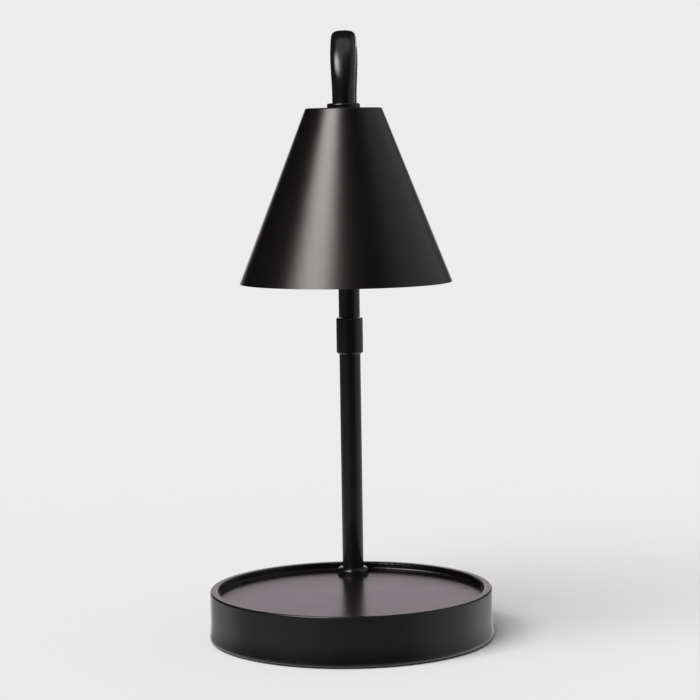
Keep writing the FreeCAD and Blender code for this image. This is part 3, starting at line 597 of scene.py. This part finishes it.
@dataclass
class CrossScrew:
    """A screw with a cross recess, and the ring of places that it is driven in."""

    head_radius: float
    head_depth: float
    shank_radius: float
    length: float
    count: int
    circle: float
    first_turn: float
    middle: Point
    countersunk: bool = False
    recess_reach: float = 0.56
    recess_width: float = 0.17
    recess_depth: float = 0.6
    recess_taper: float = 0.7
    brim_share: float = 0.35
    tip_length: float = 0.4
    tip_share: float = 0.55
    facing: tuple[float, str] = (180.0, "X")
    segments: int = 32

    def one(self) -> bpy.types.Mesh:
        """Make one screw at the origin, with its head turned the way that it faces.

        Returns:
            The screw's mesh.
        """
        made = bmesh.new()
        head, shank, depth = self.head_radius, self.shank_radius, self.head_depth
        round_off = 0.0 if self.countersunk else self.brim_share * depth
        rows = [(head - round_off, 0.0)]
        if not self.countersunk:
            rows += [(head, -round_off), (head, -depth)]
        rows += [(shank, -depth), (shank, self.tip_length - self.length)]
        rows += [(self.tip_share * shank, -self.length)]
        rings = [self.ring(made, radius, height) for radius, height in rows]
        for upper, lower in zip(rings, rings[1:]):
            for index in range(self.segments):
                after = (index + 1) % self.segments
                made.faces.new((upper[index], lower[index], lower[after], upper[after]))
        made.faces.new(rings[-1])
        self.recess(made, rings[0])
        turn = Matrix.Rotation(math.radians(self.facing[0]), 3, self.facing[1])
        bmesh.ops.rotate(made, cent=ZERO, matrix=turn, verts=made.verts)
        return Lathe.finished("one_screw", made)

    def ring(
        self, made: bmesh.types.BMesh, radius: float, height: float
    ) -> list[bmesh.types.BMVert]:
        """Add a ring of corners.

        Args:
            made: The mesh to add to.
            radius: The ring's radius.
            height: Its height.

        Returns:
            The corners in order.
        """
        turns = [math.tau * index / self.segments for index in range(self.segments)]
        places = [(radius * math.cos(turn), radius * math.sin(turn), height) for turn in turns]
        return [made.verts.new(place) for place in places]

    def recess(self, made: bmesh.types.BMesh, brim: list[bmesh.types.BMVert]) -> None:
        """Close the head round a cross-shaped hole with a floor.

        Args:
            made: The screw's mesh.
            brim: The corners round the top of the head.
        """
        reach = self.recess_reach * self.head_radius
        half = self.recess_width * self.head_radius / 2.0
        arm = [(half, half), (half, reach), (-half, reach)]
        cross = []
        for quarter in range(4):
            turn = Matrix.Rotation(math.radians(90.0 * quarter), 2)
            cross += [turn @ Vector(corner) for corner in arm]
        top = [made.verts.new((corner.x, corner.y, 0.0)) for corner in cross]
        taper, low = self.recess_taper, -self.recess_depth * self.head_depth
        floor = [made.verts.new((corner.x * taper, corner.y * taper, low)) for corner in cross]
        loops = [made.edges.new(pair) for pair in zip(top, top[1:] + top[:1])]
        loops += [made.edges.get(pair) for pair in zip(brim, brim[1:] + brim[:1])]
        bmesh.ops.triangle_fill(made, use_beauty=True, edges=loops)
        for index in range(len(top)):
            after = (index + 1) % len(top)
            made.faces.new((top[index], top[after], floor[after], floor[index]))
        made.faces.new(floor)

    def tree(self) -> Pattern:
        """Build the tree that sets a screw in each place of the ring.

        Returns:
            The tree.
        """
        made = Pattern(
            "ring_of_screws",
            {
                "Count": "NodeSocketInt",
                "Circle": "NodeSocketFloat",
                "First Turn": "NodeSocketFloat",
                "Middle": "NodeSocketVector",
            },
        )
        step = made.maths("DIVIDE", math.tau, made.given["Count"])
        index = made.add("GeometryNodeInputIndex").outputs["Index"]
        turn = made.maths("ADD", made.maths("MULTIPLY", index, step), made.given["First Turn"])
        away = made.add("ShaderNodeCombineXYZ")
        for side, wave in (("X", "COSINE"), ("Y", "SINE")):
            reach = made.maths("MULTIPLY", made.maths(wave, turn, 0.0), made.given["Circle"])
            made.join(reach, away.inputs[side])
        place = made.add("ShaderNodeVectorMath", operation="ADD")
        made.join(away.outputs["Vector"], place.inputs[0])
        made.join(made.given["Middle"], place.inputs[1])
        ring = made.add("GeometryNodePoints")
        made.join(made.given["Count"], ring.inputs["Count"])
        made.join(place.outputs["Vector"], ring.inputs["Position"])
        facing = made.add("ShaderNodeCombineXYZ")
        made.join(turn, facing.inputs["Z"])
        copies = made.add("GeometryNodeInstanceOnPoints")
        made.join(ring.outputs["Points"], copies.inputs["Points"])
        made.join(made.given["Shape"], copies.inputs["Instance"])
        made.join(facing.outputs["Vector"], copies.inputs["Rotation"])
        made.close(copies.outputs["Instances"])
        return made

    def drive(self, shop: Workshop, node: str, body: Body) -> None:
        """Set the screws in their places, instead of a CAD node.

        Args:
            shop: The workshop that holds the materials.
            node: The node that they stand for.
            body: The body that they move with.
        """
        values = {
            "Count": self.count,
            "Circle": self.circle * MILLIMETRE,
            "First Turn": math.radians(self.first_turn),
            "Middle": [value * MILLIMETRE for value in self.middle],
        }
        mesh = shop.grow(self.tree(), values, Look.ZINC, self.one())
        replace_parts(shop.piece(f"{node}_crossed", mesh, body, Look.ZINC), node)


@dataclass
class WireCoil:
    """Wires wound side by side in a coil, whose ends come together at its axis."""

    radius: float
    end_radius: float
    low: float
    high: float
    turns: int
    wire_radius: float
    axis: tuple[float, float]
    wires: int = 2
    lead_in: float = 0.1
    steps: int = 24
    sides: int = 10
    sharp: float = 60.0

    def tree(self) -> Pattern:
        """Build the tree that winds the wires.

        Returns:
            The tree.
        """
        made = Pattern(
            "wound_wires",
            {
                "Wires": "NodeSocketInt",
                "Turns": "NodeSocketFloat",
                "Radius": "NodeSocketFloat",
                "End Share": "NodeSocketFloat",
                "Height": "NodeSocketFloat",
                "Wire Radius": "NodeSocketFloat",
                "Foot": "NodeSocketVector",
            },
        )
        spiral = made.add("GeometryNodeCurveSpiral")
        spiral.inputs["Resolution"].default_value = self.steps
        for given, socket in (
            ("Turns", "Rotations"),
            ("Radius", "Start Radius"),
            ("Radius", "End Radius"),
            ("Height", "Height"),
        ):
            made.join(made.given[given], spiral.inputs[socket])
        along = made.add("GeometryNodeSplineParameter").outputs["Factor"]
        near = made.maths("MINIMUM", along, made.maths("SUBTRACT", 1.0, along))
        share = made.add("ShaderNodeMapRange", interpolation_type="SMOOTHSTEP")
        share.inputs["From Max"].default_value = self.lead_in
        made.join(near, share.inputs["Value"])
        made.join(made.given["End Share"], share.inputs["To Min"])
        pull = made.add("ShaderNodeCombineXYZ")
        pull.inputs["Z"].default_value = 1.0
        for side in "XY":
            made.join(share.outputs["Result"], pull.inputs[side])
        place = made.add("GeometryNodeInputPosition")
        drawn = made.add("ShaderNodeVectorMath", operation="MULTIPLY")
        made.join(place.outputs["Position"], drawn.inputs[0])
        made.join(pull.outputs["Vector"], drawn.inputs[1])
        shaped = made.add("GeometryNodeSetPosition")
        made.join(spiral.outputs["Curve"], shaped.inputs["Geometry"])
        made.join(drawn.outputs["Vector"], shaped.inputs["Position"])
        section = made.add("GeometryNodeCurvePrimitiveCircle")
        section.inputs["Resolution"].default_value = self.sides
        made.join(made.given["Wire Radius"], section.inputs["Radius"])
        wire = made.add("GeometryNodeCurveToMesh")
        wire.inputs["Fill Caps"].default_value = True
        made.join(shaped.outputs["Geometry"], wire.inputs["Curve"])
        made.join(section.outputs["Curve"], wire.inputs["Profile Curve"])
        feet = made.add("GeometryNodeMeshLine")
        feet.inputs["Offset"].default_value = ZERO
        made.join(made.given["Wires"], feet.inputs["Count"])
        made.join(made.given["Foot"], feet.inputs["Start Location"])
        step = made.maths("DIVIDE", math.tau, made.given["Wires"])
        index = made.add("GeometryNodeInputIndex")
        facing = made.add("ShaderNodeCombineXYZ")
        made.join(made.maths("MULTIPLY", index.outputs["Index"], step), facing.inputs["Z"])
        copies = made.add("GeometryNodeInstanceOnPoints")
        made.join(feet.outputs["Mesh"], copies.inputs["Points"])
        made.join(wire.outputs["Mesh"], copies.inputs["Instance"])
        made.join(facing.outputs["Vector"], copies.inputs["Rotation"])
        made.close(copies.outputs["Instances"])
        return made

    def wind(self, shop: Workshop, look: Look) -> bpy.types.Mesh:
        """Wind the wires.

        Args:
            shop: The workshop that holds the materials.
            look: The finish of the wires.

        Returns:
            The mesh of the wires, in metres and in its place.
        """
        values = {
            "Wires": self.wires,
            "Turns": float(self.turns),
            "Radius": self.radius * MILLIMETRE,
            "End Share": self.end_radius / self.radius,
            "Height": (self.high - self.low) * MILLIMETRE,
            "Wire Radius": self.wire_radius * MILLIMETRE,
            "Foot": [value * MILLIMETRE for value in (*self.axis, self.low)],
        }
        made = shop.grow(self.tree(), values, look, bpy.data.meshes.new("empty"))
        tidy = bmesh.new()
        tidy.from_mesh(made)
        bmesh.ops.recalc_face_normals(tidy, faces=tidy.faces)
        tidy.to_mesh(made)
        tidy.free()
        made.shade_smooth()
        made.set_sharp_from_angle(angle=math.radians(self.sharp))
        return made


@dataclass
class WeightedBase:
    """The rimmed tray with its iron weight, cover, pad and clamping parts."""

    pad_radius: float = 73.5
    pad_depth: float = 1.8
    pad_edge: float = 0.5
    pad_rings: tuple[float, ...] = (0.0, 0.35, 0.7)
    pad_segments: int = 128
    cover_screws: CrossScrew = field(
        default_factory=lambda: CrossScrew(
            head_radius=3.4,
            head_depth=1.6,
            shank_radius=1.75,
            length=8.7,
            count=3,
            circle=50.0,
            first_turn=30.0,
            middle=(0.0, 0.0, 1.8),
            countersunk=True,
        )
    )
    looks: dict[str, Look] = field(
        default_factory=lambda: {
            "base_shell": Look.TRAY_PAINT,
            "base_weight": Look.IRON,
            "base_cover": Look.COVER,
            "cord_inlet_grommet": Look.GROMMET,
            "pole_foot_ring": Look.TUBE_PAINT,
            "pole_nipple": Look.ZINC,
            "pole_nut": Look.ZINC,
            "pole_lock_washer": Look.ZINC,
            "base_leads": Look.LEAD,
            "splice_caps": Look.SPLICE,
        }
    )

    def build(self, shop: Workshop) -> None:
        """Make and dress the pieces of the base.

        Args:
            shop: The workshop that holds the materials.
        """
        shop.dress(self.looks)
        self.cover_screws.drive(shop, "cover_screws", Body.BASE)
        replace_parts(shop.piece("foam_foot_pad", self.pad(), Body.BASE, Look.PAD), "base_pad")

    def pad(self) -> bpy.types.Mesh:
        """Make the foam pad, with edges that are pressed round where it was cut.

        Returns:
            The pad's mesh.
        """
        side, edge, depth = self.pad_radius, self.pad_edge, self.pad_depth
        rounds = [math.radians(turn) for turn in range(0, 91, 15)]
        rings = [(side * share, 0.0) for share in self.pad_rings]
        rings += [
            (side - edge + edge * math.sin(turn), edge - edge * math.cos(turn)) for turn in rounds
        ]
        top = [(radius, depth - height) for radius, height in reversed(rings)]
        return Lathe.turn("foam_foot_pad", rings + top, ZERO, self.pad_segments)


@dataclass
class Pole:
    """The fixed lower tube with the twist-lock collar and the friction collet at its top."""

    looks: dict[str, Look] = field(
        default_factory=lambda: {
            "lower_tube": Look.TUBE_PAINT,
            "collar_bush": Look.BRASS,
            "lock_collar": Look.TUBE_PAINT,
            "friction_collet": Look.NYLON,
        }
    )

    def build(self, shop: Workshop) -> None:
        """Make and dress the pieces of the pole.

        Args:
            shop: The workshop that holds the materials.
        """
        shop.dress(self.looks)


@dataclass
class ArchedArm:
    """The sliding arm: slide tube, guide ring, bush, arched tube and the leads inside."""

    looks: dict[str, Look] = field(
        default_factory=lambda: {
            "slide_tube": Look.TUBE_PAINT,
            "guide_ring": Look.NYLON,
            "arm_bush": Look.BRASS,
            "arm_tube": Look.TUBE_PAINT,
            "arm_leads": Look.LEAD,
        }
    )
    lead_coil: WireCoil = field(
        default_factory=lambda: WireCoil(
            radius=3.45,
            end_radius=1.05,
            low=39.4,
            high=72.7,
            turns=7,
            wire_radius=0.9,
            axis=(0.0, 60.5),
        )
    )

    def build(self, shop: Workshop) -> None:
        """Make and dress the pieces of the arm.

        Args:
            shop: The workshop that holds the materials.
        """
        shop.dress(self.looks)
        wound = self.lead_coil.wind(shop, Look.LEAD)
        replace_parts(shop.piece("curled_leads", wound, Body.BASE, Look.LEAD), "lead_coil")


@dataclass
class ShadeHead:
    """The cone shade with its fittings and the lampholder that hangs in it."""

    looks: dict[str, Look] = field(
        default_factory=lambda: {
            "shade": Look.PAINT,
            "shade_washer": Look.TUBE_PAINT,
            "shade_inner_washer": Look.ZINC,
            "shade_nipple": Look.ZINC,
            "shade_nut": Look.ZINC,
            "holder_bracket": Look.ZINC,
            "lampholder": Look.PORCELAIN,
            "holder_contacts": Look.BRASS,
        }
    )
    holder_screws: CrossScrew = field(
        default_factory=lambda: CrossScrew(
            head_radius=2.7,
            head_depth=1.6,
            shank_radius=1.5,
            length=7.1,
            count=2,
            circle=17.1,
            first_turn=0.0,
            middle=(0.0, -8.3, 268.0),
            facing=(90.0, "Y"),
        )
    )

    def build(self, shop: Workshop) -> None:
        """Make and dress the pieces of the shade.

        Args:
            shop: The workshop that holds the materials.
        """
        shop.dress(self.looks)
        self.holder_screws.drive(shop, "holder_screws", Body.ARM)


@dataclass
class ReflectorBulb:
    """The twist-lock halogen bulb."""

    looks: dict[str, Look] = field(
        default_factory=lambda: {
            "bulb_lens": Look.GLASS,
            "bulb_base": Look.PORCELAIN,
            "bulb_pins": Look.ZINC,
        }
    )
    axis: Point2 = (0.0, -8.3)
    face: float = 206.0
    straight: float = 210.0
    neck: float = 241.0
    radius: float = 25.0
    throat: float = 12.5
    curve: float = 37.5
    glass: float = 1.4
    lip: float = 0.3
    curve_spans: int = 16
    facet_rings: int = 10
    facets_round: int = 40
    capsule_radius: float = 5.7
    capsule_length: float = 20.0
    capsule_glass: float = 0.7
    capsule_segments: int = 48
    support_radius: float = 0.18
    support_reach: float = 1.6
    short_bends: Point2 = (1.6, 0.8)
    long_bends: Point2 = (1.2, 1.9)
    filament: WireCoil = field(
        default_factory=lambda: WireCoil(
            radius=0.75,
            end_radius=0.75,
            low=225.5,
            high=231.0,
            turns=11,
            wire_radius=0.12,
            axis=(0.0, -8.3),
            wires=1,
            steps=16,
            sides=6,
        )
    )

    def build(self, shop: Workshop) -> None:
        """Make and dress the pieces of the bulb.

        Args:
            shop: The workshop that holds the materials.
        """
        shop.dress(self.looks)
        dish = shop.piece("faceted_reflector", self.reflector(), Body.BULB, Look.MIRROR)
        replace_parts(dish, "bulb_reflector")
        capsule = shop.piece("hollow_capsule", self.capsule(), Body.BULB, Look.GLASS)
        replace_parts(capsule, "bulb_capsule")
        shop.piece("filament", self.filament.wind(shop, Look.ZINC), Body.BULB, Look.ZINC)
        shop.piece("filament_supports", self.supports(), Body.BULB, Look.ZINC)

    def reflector(self) -> bpy.types.Mesh:
        """Make the glass dish, smooth outside and with flat mirror facets inside.

        Returns:
            The dish's mesh.
        """
        side, inside = self.radius, self.radius - self.glass
        bore = (self.throat - 2.0 * self.glass, self.neck)
        outer = Lathe.arc(
            (side, self.straight), (self.throat, self.neck), self.curve, self.curve_spans
        )
        inner = Lathe.arc((inside, self.straight), bore, self.curve, self.facet_rings)
        lip = [(side - self.lip, self.face), (side, self.face + self.lip)]
        outline = lip + outer + inner[::-1] + [(inside, self.face)]
        made = Lathe.turn("faceted_reflector", outline, (*self.axis, 0.0), self.facets_round * 2)
        axis = Vector(self.axis) * MILLIMETRE
        for polygon in made.polygons:
            faces_axis = polygon.normal.xy.dot(polygon.center.xy - axis) < 0.0
            if faces_axis and polygon.center.z > self.straight * MILLIMETRE:
                polygon.use_smooth = False
        return made

    def capsule(self) -> bpy.types.Mesh:
        """Make the hollow glass capsule round the filament.

        Returns:
            The capsule's mesh.
        """
        dome = self.neck - self.capsule_length + self.capsule_radius
        turns = [math.radians(turn) for turn in range(0, 91, 9)]
        walls = []
        for inset in (0.0, self.capsule_glass):
            radius, top = self.capsule_radius - inset, self.neck - inset
            curve = [(radius * math.sin(turn), dome - radius * math.cos(turn)) for turn in turns]
            outline = curve + [(radius, top), (0.0, top)]
            middle = (*self.axis, 0.0)
            walls.append(Lathe.turn("hollow_capsule", outline, middle, self.capsule_segments))
        outer, inner = walls
        made = bmesh.new()
        made.from_mesh(outer)
        first = len(made.faces)
        made.from_mesh(inner)
        bmesh.ops.reverse_faces(made, faces=list(made.faces)[first:])
        made.to_mesh(outer)
        made.free()
        bpy.data.meshes.remove(inner)
        return outer

    def supports(self) -> bpy.types.Mesh:
        """Make the two wires that hold the ends of the filament.

        Returns:
            The wires' mesh.
        """
        (x, y), coil = self.axis, self.filament
        top, reach, side = self.neck - self.capsule_glass, self.support_reach, coil.radius
        rises, drops = self.short_bends, self.long_bends
        short = [(reach, top), (reach, coil.high + rises[0])]
        short += [(side, coil.high + rises[1]), (side, coil.high)]
        long = [(-reach, top), (-reach, coil.low - drops[0])]
        long += [(0.0, coil.low - drops[1]), (side, coil.low)]
        line = bpy.data.curves.new("filament_supports", "CURVE")
        line.dimensions = "3D"
        line.bevel_depth = self.support_radius * MILLIMETRE
        line.bevel_resolution = 2
        line.use_fill_caps = True
        for route in (short, long):
            wire = line.splines.new("NURBS")
            wire.points.add(len(route) - 1)
            for point, (aside, height) in zip(wire.points, route):
                place = (x + aside, y, height)
                point.co = (*(value * MILLIMETRE for value in place), 1.0)
            wire.order_u = 3
            wire.use_endpoint_u = True
        carrier = placed("carrier", line)
        bpy.context.view_layer.update()
        made = bpy.data.meshes.new_from_object(carrier)
        bpy.data.objects.remove(carrier)
        closed = bmesh.new()
        closed.from_mesh(made)
        bmesh.ops.scale(closed, vec=(1.0 / MILLIMETRE,) * 3, verts=closed.verts)
        return Lathe.finished("filament_supports", closed)


@dataclass(frozen=True)
class Panel:
    """A pale patch on the studio's walls, by turn and rise of its middle and half its spans."""

    middle: Point2
    half: Point2
    edge: float
    glow: float
    tint: Colour = (1.0, 1.0, 1.0)

    @staticmethod
    def inside(away: float, half: float, edge: float) -> float:
        """Tell how far a place is inside a soft-edged span.

        Args:
            away: The distance from the span's middle, in degrees.
            half: Half the span, where the result is a half.
            edge: Half the width of the soft edge.

        Returns:
            A share from 0 outside to 1 inside.
        """
        share = min(max((half + edge - away) / (2.0 * edge), 0.0), 1.0)
        return share * share * (3.0 - 2.0 * share)

    def light(self, turn: float, rise: float) -> Vector:
        """Work out the panel's light in a direction.

        Args:
            turn: The direction round the lamp in degrees, 0 at the front and 90 at the right.
            rise: The height of the direction in degrees over the horizon.

        Returns:
            The panel's share of the red, green and blue there.
        """
        round_away = abs((turn - self.middle[0] + 180.0) % 360.0 - 180.0)
        across = self.inside(round_away, self.half[0], self.edge)
        up = self.inside(abs(rise - self.middle[1]), self.half[1], self.edge)
        return Vector(self.tint) * self.glow * across * up


@dataclass
class Studio:
    """The floor, background, lights and camera round the lamp."""

    background: Colour = (0.838, 0.838, 0.838)
    floor_colour: Colour = (0.79, 0.79, 0.79)
    ambient: float = 0.3
    floor_reach: float = 3.0
    floor_gap: float = 0.0001
    floor_plain: float = 0.3
    floor_fade: float = 0.7
    key_strength: float = 3.06
    key_spread: float = 50.0
    key_azimuth: float = -42.0
    key_elevation: float = 55.0
    camera_place: Point = (0.027, -1.20685, 0.27123)
    camera_pitch: float = 5.39
    camera_turn: float = 1.217
    camera_roll: float = 0.866
    focal_pixels: float = 2242.0
    clip: tuple[float, float] = (0.01, 20.0)
    wall_radius: float = 2.6
    wall_faces: tuple[int, int] = (144, 96)
    panels: tuple[Panel, ...] = (
        Panel((-40.0, 48.0), (20.5, 16.0), edge=13.0, glow=9.2, tint=WARM),
        Panel((0.0, 90.0), (180.0, 20.0), edge=6.0, glow=0.55),
        Panel((103.0, 20.0), (43.0, 40.0), edge=24.0, glow=0.38),
        Panel((183.0, -1.0), (18.0, 16.0), edge=5.0, glow=1.2, tint=ROSE),
        Panel((0.0, -50.0), (180.0, 42.0), edge=4.0, glow=0.26),
        Panel((180.0, -50.0), (75.0, 42.0), edge=12.0, glow=0.4),
        Panel((-75.0, -32.0), (50.0, 30.0), edge=20.0, glow=0.17),
    )

    def build(self) -> None:
        """Make the floor, the walls, the lights, the world and the camera."""
        self.floor()
        self.walls()
        self.key_light()
        self.world()
        self.camera()
        bpy.context.scene.view_settings.view_transform = "Standard"

    def floor(self) -> bpy.types.Object:
        """Make the pale floor, which fades far from the lamp and is clear from underneath.

        Returns:
            The floor's object.
        """
        mesh = bpy.data.meshes.new("floor")
        corners = [
            (x * self.floor_reach, y * self.floor_reach, -self.floor_gap)
            for x, y in ((-1, -1), (1, -1), (1, 1), (-1, 1))
        ]
        mesh.from_pydata(corners, [], [(0, 1, 2, 3)])
        shown = placed("floor", mesh)
        shown.visible_glossy = False
        made = bpy.data.materials.new("pale_floor")
        made.use_nodes = True
        nodes = NodeTree(made.node_tree)
        shader = made.node_tree.nodes["Principled BSDF"]
        shader.inputs["Base Color"].default_value = (*self.floor_colour, 1.0)
        shader.inputs["Roughness"].default_value = 1.0
        shader.inputs["Specular IOR Level"].default_value = 0.0
        place = nodes.add("ShaderNodeTexCoord")
        away = nodes.add("ShaderNodeVectorMath", operation="LENGTH")
        nodes.join(place.outputs["Object"], away.inputs[0])
        fade = nodes.add("ShaderNodeMapRange", interpolation_type="SMOOTHSTEP")
        fade.inputs["From Min"].default_value = self.floor_plain
        fade.inputs["From Max"].default_value = self.floor_fade
        nodes.join(away.outputs["Value"], fade.inputs["Value"])
        clear = nodes.add("ShaderNodeBsdfTransparent")
        mix = nodes.add("ShaderNodeMixShader")
        side = nodes.add("ShaderNodeNewGeometry")
        gone = nodes.maths("MAXIMUM", fade.outputs["Result"], side.outputs["Backfacing"])
        nodes.join(gone, mix.inputs["Fac"])
        nodes.join(shader.outputs["BSDF"], mix.inputs[1])
        nodes.join(clear.outputs["BSDF"], mix.inputs[2])
        nodes.join(mix.outputs["Shader"], made.node_tree.nodes["Material Output"].inputs["Surface"])
        mesh.materials.append(made)
        return shown

    def walls(self) -> bpy.types.Object:
        """Make what reflections see: soft light, ceiling, right and rear walls, and table.

        Returns:
            The walls' object.
        """
        made = bmesh.new()
        across, up = self.wall_faces
        bmesh.ops.create_uvsphere(
            made, u_segments=across, v_segments=up, radius=self.wall_radius
        )
        mesh = bpy.data.meshes.new("studio_walls")
        made.to_mesh(mesh)
        made.free()
        glow = mesh.attributes.new("glow", "FLOAT_COLOR", "POINT")
        for vertex, value in zip(mesh.vertices, glow.data):
            x, y, z = vertex.co
            turn = math.degrees(math.atan2(x, -y))
            rise = math.degrees(math.atan2(z, math.hypot(x, y)))
            light = sum((panel.light(turn, rise) for panel in self.panels), Vector())
            value.color = (*light, 1.0)
        shown = placed("studio_walls", mesh)
        paint = bpy.data.materials.new("studio_walls")
        paint.use_nodes = True
        nodes = NodeTree(paint.node_tree)
        light = nodes.add("ShaderNodeEmission")
        read = nodes.add("ShaderNodeAttribute", attribute_name="glow")
        nodes.join(read.outputs["Color"], light.inputs["Color"])
        surface = paint.node_tree.nodes["Material Output"].inputs["Surface"]
        nodes.join(light.outputs["Emission"], surface)
        paint.cycles.emission_sampling = "NONE"
        mesh.materials.append(paint)
        shown.visible_camera = False
        shown.visible_diffuse = False
        shown.visible_transmission = False
        shown.visible_shadow = False
        return shown

    def key_light(self) -> None:
        """Hang the large soft light over the left front; its reflection is a panel of the walls."""
        light = bpy.data.lights.new("soft_light", "SUN")
        light.energy = self.key_strength
        light.angle = math.radians(self.key_spread)
        shown = placed("soft_light", light)
        shown.visible_glossy = False
        turn, rise = math.radians(self.key_azimuth), math.radians(self.key_elevation)
        level = math.cos(rise)
        away = Vector((math.sin(turn) * level, -math.cos(turn) * level, math.sin(rise)))
        shown.rotation_euler = away.to_track_quat("Z", "Y").to_euler()

    def world(self) -> None:
        """Set the plain background, and the even light that comes from all round."""
        world = bpy.data.worlds.new("studio")
        bpy.context.scene.world = world
        world.use_nodes = True
        nodes = NodeTree(world.node_tree)
        out = world.node_tree.nodes["World Output"]
        seen = world.node_tree.nodes["Background"]
        seen.inputs["Color"].default_value = (*self.background, 1.0)
        even = nodes.add("ShaderNodeBackground")
        even.inputs["Color"].default_value = (*self.background, 1.0)
        even.inputs["Strength"].default_value = self.ambient
        path = nodes.add("ShaderNodeLightPath").outputs
        direct = nodes.maths("MAXIMUM", path["Is Camera Ray"], path["Is Glossy Ray"])
        direct = nodes.maths("MAXIMUM", direct, path["Is Transmission Ray"])
        mix = nodes.add("ShaderNodeMixShader")
        nodes.join(direct, mix.inputs["Fac"])
        nodes.join(even.outputs["Background"], mix.inputs[1])
        nodes.join(seen.outputs["Background"], mix.inputs[2])
        nodes.join(mix.outputs["Shader"], out.inputs["Surface"])

    def camera(self) -> None:
        """Set up the camera at the photograph's place and angle."""
        lens = bpy.data.cameras.new("camera")
        lens.sensor_width = SENSOR_WIDTH
        lens.lens = self.focal_pixels * SENSOR_WIDTH / IMAGE_PIXELS
        lens.clip_start, lens.clip_end = self.clip
        shown = placed("camera", lens)
        turn = Matrix.Rotation(math.radians(self.camera_turn), 4, "Z")
        tilt = Matrix.Rotation(math.radians(90.0 - self.camera_pitch), 4, "X")
        roll = Matrix.Rotation(math.radians(-self.camera_roll), 4, "Z")
        shown.matrix_world = Matrix.Translation(self.camera_place) @ turn @ tilt @ roll
        bpy.context.scene.camera = shown


def main() -> None:
    """Build the lamp's sub-assemblies and the studio, and report each piece."""
    logging.basicConfig(level=logging.INFO, format="%(message)s")
    shop = Workshop()
    for part in (WeightedBase(), Pole(), ArchedArm(), ShadeHead(), ReflectorBulb()):
        part.build(shop)
        log.info("built %s", type(part).__name__)
    Studio().build()


if __name__ == "__main__":
    main()
